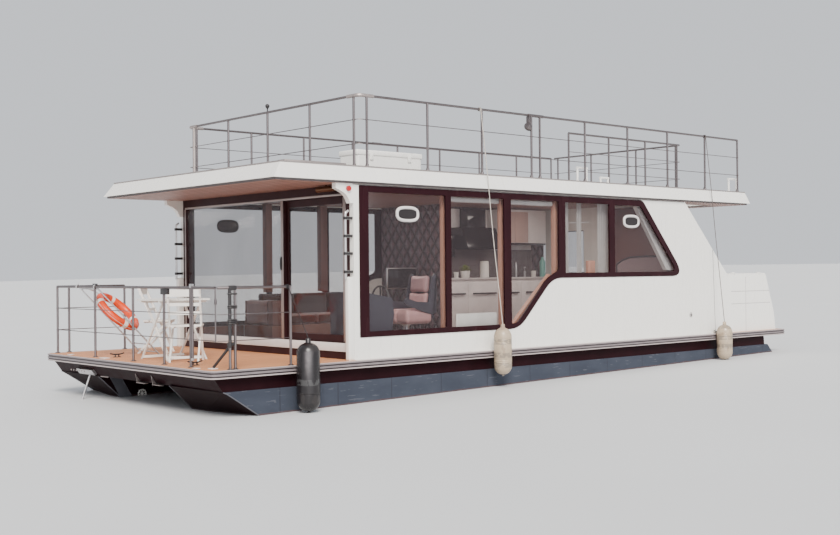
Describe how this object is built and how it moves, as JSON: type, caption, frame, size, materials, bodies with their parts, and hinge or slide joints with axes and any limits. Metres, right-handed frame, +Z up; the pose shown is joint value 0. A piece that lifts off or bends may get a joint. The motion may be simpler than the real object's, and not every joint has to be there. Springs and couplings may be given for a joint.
{
  "type": "houseboat",
  "caption": "Houseboat on two floats with a glazed cabin, a railed roof terrace, a bow terrace with furniture, a stern stair and an outboard motor.",
  "frame": {"origin": "on the waterline, amidships, on the centre plane", "axes": "+X to the bow, +Y to port, +Z up"},
  "size_m": [12, 4.7523, 4.499],
  "materials": {
    "float_grey": "satin",
    "hull_black": "gloss",
    "deck_tan": "matt",
    "rub_rail_grey": "satin",
    "floor_wood": "satin",
    "hull_white": "gloss",
    "window_black": "gloss",
    "window_glass": "clear",
    "soffit_wood": "satin",
    "rail_steel": "brushed",
    "lamp_black": "matt",
    "motor_black": "gloss",
    "motor_alloy": "satin",
    "inside_grey": "matt",
    "kitchen_white": "satin",
    "quilted_panel": "quilted",
    "seat_leather": "satin",
    "cushion_fabric": "woven",
    "bedding": "woven",
    "furniture_white": "painted",
    "buoy_orange": "satin",
    "fender_black": "satin",
    "fender_white": "satin",
    "line_rope": "braided"
  },
  "bodies": {
    "boat": {"float_port": "float_grey", "float_starboard": "float_grey", "bridge_hull": "hull_black", "deck": "deck_tan", "rub_rail": "rub_rail_grey", "cabin_floor": "floor_wood", "cabin_side_port": "hull_white", "cabin_side_starboard": "hull_white", "window_frame_port": "window_black", "window_frame_starboard": "window_black", "window_glass_port": "window_glass", "window_glass_starboard": "window_glass", "stern_locker_port": "hull_white", "stern_locker_starboard": "hull_white", "side_light_port": "lamp_black", "side_light_starboard": "lamp_black", "cabin_front_frame": "window_black", "cabin_front_glass": "window_glass", "aft_bulkhead": "hull_white", "roof": "hull_white", "soffit": "soffit_wood", "roof_rail_front": "rail_steel", "roof_rail_port": "rail_steel", "roof_rail_starboard": "rail_steel", "roof_rail_aft": "rail_steel", "roof_chest": "hull_white", "stair": "furniture_white", "bow_rail_front": "rail_steel", "bow_rail_port": "rail_steel", "bow_rail_starboard": "rail_steel", "motor_bracket": "motor_black", "helm_console": "inside_grey", "helm_seat": "seat_leather", "kitchen": "kitchen_white", "partition": "quilted_panel", "sofa": "cushion_fabric", "berth": "bedding", "terrace_table": "furniture_white", "terrace_chair_port": "furniture_white", "terrace_chair_starboard": "furniture_white", "lifebuoy": "buoy_orange", "horn_lamp": "motor_alloy", "boarding_ladder": "rail_steel", "fender_bow": "fender_black", "fender_line_bow": "line_rope", "fender_side": "fender_white", "fender_line_side": "line_rope", "fender_aft": "fender_white", "fender_line_aft": "line_rope"},
    "sliding_door": {"sliding_door_frame": "window_black", "sliding_door_glass": "window_glass"},
    "aft_door": {"aft_door": "hull_white"},
    "bow_gate": {"bow_gate": "rail_steel"},
    "locker_lid_port": {"locker_lid_port": "hull_white"},
    "locker_lid_starboard": {"locker_lid_starboard": "hull_white"},
    "motor_swivel": {"motor_swivel": "motor_black"},
    "motor": {"motor_unit": "motor_black"},
    "motor_propeller": {"motor_propeller": "motor_alloy"},
    "thruster_propeller": {"thruster_propeller": "lamp_black"},
    "steering_wheel": {"steering_wheel": "lamp_black"}
  },
  "joints": [
    {"name": "sliding_door_slide", "type": "slide", "parent": "boat", "child": "sliding_door", "axis": [0, -1, 0], "range_m": [0, 1.26]},
    {"name": "aft_door_hinge", "type": "hinge", "parent": "boat", "child": "aft_door", "pos_m": [-3.23, -0.748, 1.4], "axis": [0, 0, 1], "range_deg": [0, 105]},
    {"name": "bow_gate_hinge", "type": "hinge", "parent": "boat", "child": "bow_gate", "pos_m": [5.85, 1.575, 0.95], "axis": [0, 0, 1], "range_deg": [0, 95]},
    {"name": "locker_lid_port_hinge", "type": "hinge", "parent": "boat", "child": "locker_lid_port", "pos_m": [-4.9, 2.13, 1.479], "axis": [-1, 0, 0], "range_deg": [0, 95]},
    {"name": "locker_lid_starboard_hinge", "type": "hinge", "parent": "boat", "child": "locker_lid_starboard", "pos_m": [-4.9, -2.13, 1.479], "axis": [1, 0, 0], "range_deg": [0, 95]},
    {"name": "motor_tilt", "type": "hinge", "parent": "boat", "child": "motor_swivel", "pos_m": [-5.235, 0, 0.64], "axis": [0, 1, 0], "range_deg": [0, 60]},
    {"name": "motor_steer", "type": "hinge", "parent": "motor_swivel", "child": "motor", "pos_m": [-5.33, 0, 0.64], "axis": [0, 0, 1], "range_deg": [-30, 30]},
    {"name": "motor_propeller_spin", "type": "hinge", "parent": "motor", "child": "motor_propeller", "pos_m": [-5.65, 0, -0.33], "axis": [1, 0, 0], "continuous": true},
    {"name": "thruster_propeller_spin", "type": "hinge", "parent": "boat", "child": "thruster_propeller", "pos_m": [4.5, -1.53, -0.215], "axis": [0, 1, 0], "continuous": true},
    {"name": "steering_wheel_turn", "type": "hinge", "parent": "boat", "child": "steering_wheel", "pos_m": [2.915, 1.5, 1.185], "axis": [1, 0, 0], "range_deg": [-540, 540]}
  ],
  "couplings": [
    {"joint": "steering_wheel_turn", "follows": "motor_steer", "ratio": 18}
  ]
}
